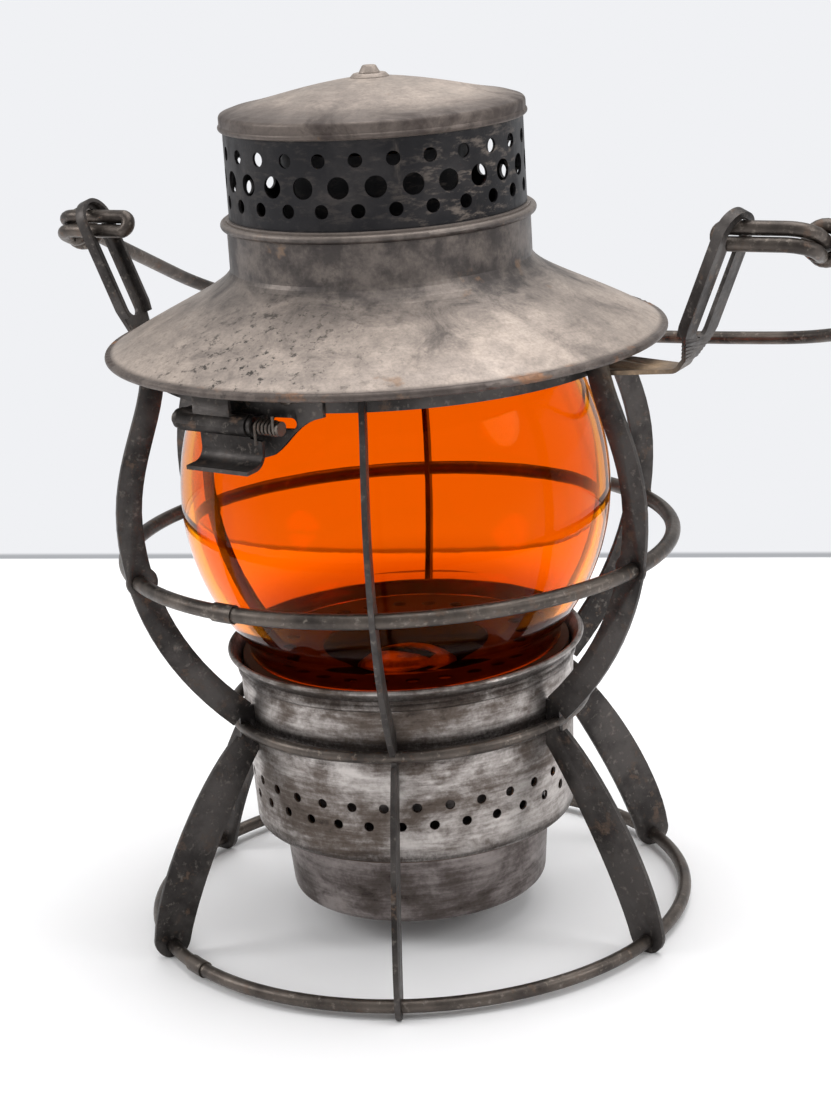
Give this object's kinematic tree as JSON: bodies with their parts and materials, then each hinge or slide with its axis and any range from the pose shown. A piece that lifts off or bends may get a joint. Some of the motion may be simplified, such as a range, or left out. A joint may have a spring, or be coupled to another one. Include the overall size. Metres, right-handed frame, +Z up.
{
  "type": "railroad lantern",
  "caption": "Caged oil hand lantern with amber globe, hinged wide-skirted lid, perforated cup with twist-off fount, and wire bail",
  "frame": {"origin": "on the lantern's axis at the ground under its feet", "axes": "+Z up along the lantern's axis, +X towards the right ear, the bail lies towards +Y and the latch is at the front, close to -Y"},
  "size_m": [0.2426, 0.203, 0.2439],
  "materials": {
    "lid_tin": "dull patinated tin plate",
    "dark_tin": "smoke-darkened tin plate",
    "cage_steel": "dark bare steel with light rust",
    "ring_steel": "grey drawn wire",
    "cup_tin": "worn bright tin plate with dark stains",
    "fount_tin": "dull tin plate",
    "amber_glass": "clear amber glass",
    "burner_brass": "dull brass",
    "wick_cotton": "woven cotton"
  },
  "bodies": {
    "root": {"base_ring": "ring_steel", "middle_ring": "ring_steel", "waist_ring": "ring_steel", "guard_bar_1": "cage_steel", "guard_bar_2": "cage_steel", "guard_bar_3": "cage_steel", "guard_bar_4": "cage_steel", "guard_bar_5": "cage_steel", "guard_bar_6": "cage_steel", "top_band": "cage_steel", "bail_ear_left": "cage_steel", "bail_ear_right": "cage_steel", "frame_rivets": "ring_steel", "globe_cup": "cup_tin", "globe_seat": "cup_tin", "globe": "amber_glass", "hinge_bracket": "cage_steel", "hinge_pin": "ring_steel", "latch_bracket": "cage_steel", "latch_pin": "ring_steel", "latch_spring": "ring_steel"},
    "lid": {"smoke_dome": "lid_tin", "chimney_band": "dark_tin", "chimney_cap": "lid_tin", "cap_washer": "lid_tin", "cap_rivet": "lid_tin", "draft_tube": "dark_tin", "globe_plate": "lid_tin", "hinge_leaf": "cage_steel", "latch_catch": "cage_steel"},
    "latch": {"latch_lever": "cage_steel"},
    "fount": {"fount_pot": "fount_tin", "fount_top": "fount_tin", "fount_lugs": "fount_tin", "burner_collar": "burner_brass", "burner_gallery": "burner_brass", "burner_cone": "burner_brass", "wick_tube": "burner_brass"},
    "wick": {"wick": "wick_cotton"},
    "wick_shaft": {"wick_wheel": "burner_brass", "wick_knob": "burner_brass"},
    "bail": {"bail": "ring_steel"}
  },
  "joints": [
    {"name": "lid_hinge", "type": "hinge", "parent": "root", "child": "lid", "pos_m": [0.0103, 0.07328, 0.1634], "axis": [-0.9903, 0.1392, 0], "range_deg": [0, 110]},
    {"name": "latch_turn", "type": "hinge", "parent": "root", "child": "latch", "pos_m": [-0.00974, -0.06932, 0.1606], "axis": [0.9903, -0.1392, 0], "range_deg": [0, 15], "stiffness_Nm_per_rad": 0.02, "springref_deg": -28.65},
    {"name": "fount_twist", "type": "hinge", "parent": "root", "child": "fount", "pos_m": [0, 0, 0.0304], "axis": [0, 0, -1], "range_deg": [0, 40]},
    {"name": "wick_knob_turn", "type": "hinge", "parent": "fount", "child": "wick_shaft", "pos_m": [0, -0.00425, 0.0628], "axis": [1, 0, 0], "range_deg": [0, 101.5]},
    {"name": "wick_raise", "type": "slide", "parent": "fount", "child": "wick", "axis": [0, 0, 1], "range_m": [0, 0.006]},
    {"name": "bail_hinge", "type": "hinge", "parent": "root", "child": "bail", "pos_m": [0, 0, 0.1994], "axis": [1, 0, 0], "range_deg": [0, 230]}
  ],
  "couplings": [
    {"joint": "wick_knob_turn", "follows": "wick_raise", "rad_per_m": 294.1}
  ]
}
